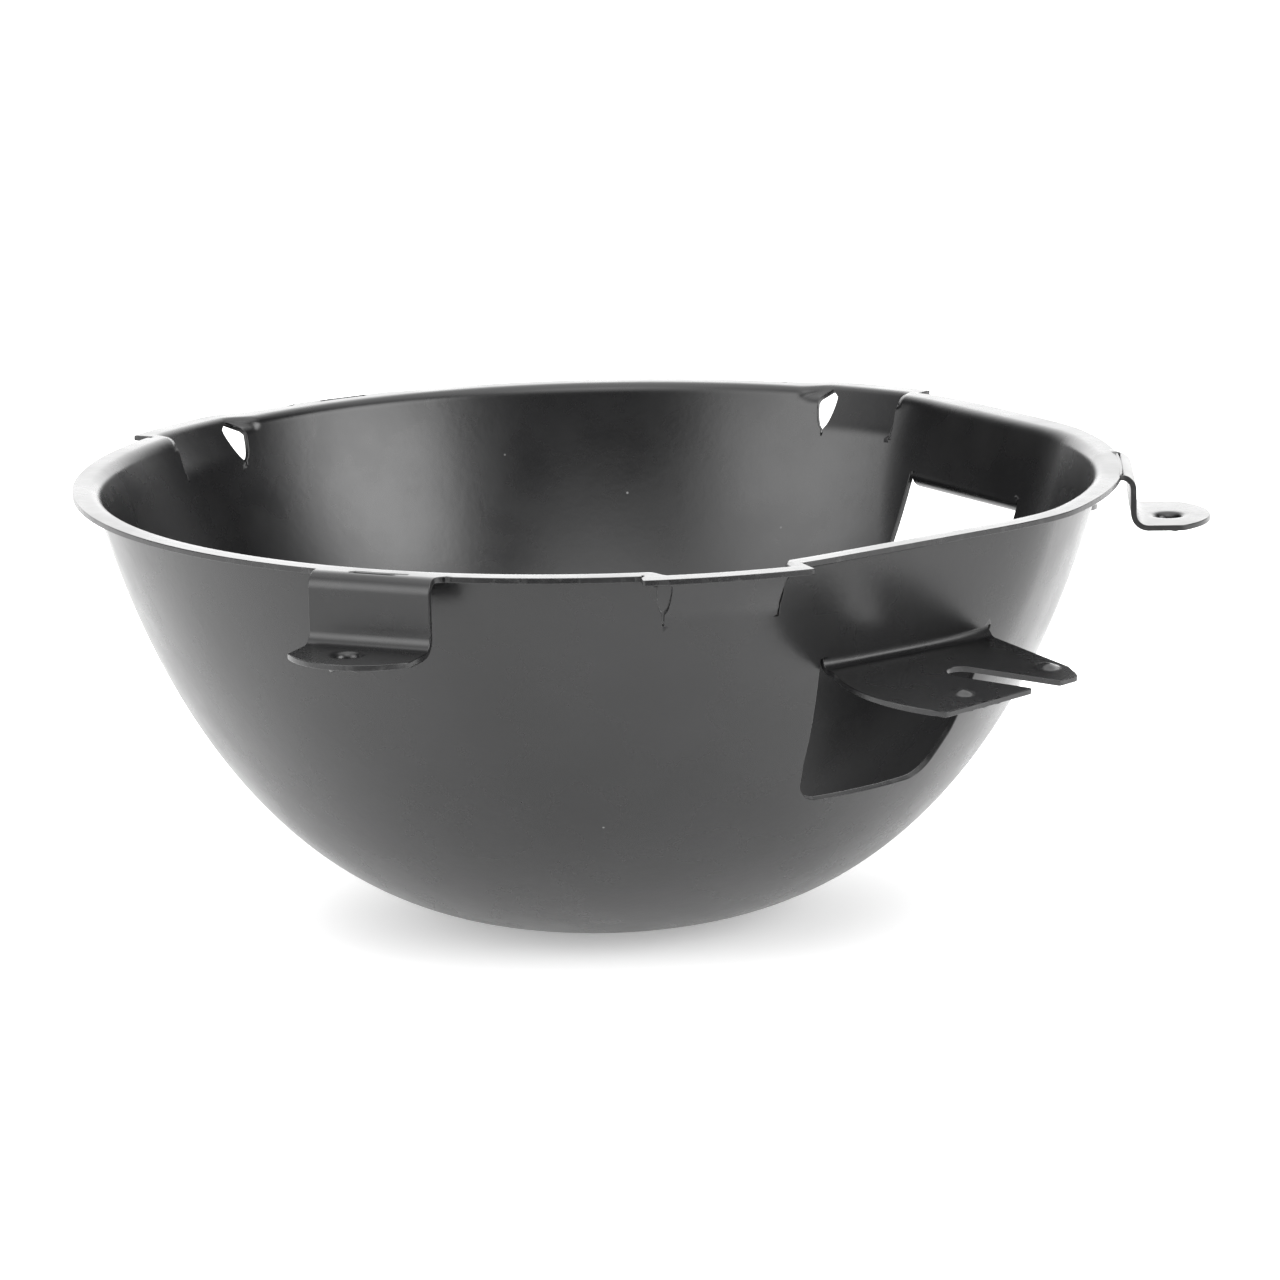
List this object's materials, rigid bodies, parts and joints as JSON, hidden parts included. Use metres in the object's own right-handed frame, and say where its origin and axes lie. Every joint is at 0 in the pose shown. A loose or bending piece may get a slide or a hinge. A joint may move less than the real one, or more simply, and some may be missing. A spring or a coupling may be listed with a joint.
{
  "type": "headlamp bucket",
  "caption": "Pressed steel headlamp bucket: deep round bowl with a rim flange, lamp lug pockets, screw tabs and bent-out adjuster tabs.",
  "frame": {"origin": "on the bowl's axis, at the outside face of its flat base", "axes": "+Z out of the bowl's mouth along the lamp axis, -Y towards the side of the front screw tab and front lug pocket, +X to the right towards the adjuster tabs"},
  "size_m": [0.2013, 0.1967, 0.079],
  "materials": {
    "coated_steel": "satin black electrocoat on pressed sheet steel"
  },
  "bodies": {
    "root": {"bowl": "coated_steel", "rim_flange_left": "coated_steel", "rim_flange_right": "coated_steel", "rim_flange_rear": "coated_steel", "lug_pocket_front": "coated_steel", "lug_pocket_rear_right": "coated_steel", "lug_pocket_rear_left": "coated_steel", "ring_tab_front": "coated_steel", "ring_tab_right": "coated_steel", "ring_tab_rear_left": "coated_steel", "adjuster_tab_front": "coated_steel", "adjuster_tab_rear": "coated_steel"}
  },
  "joints": []
}
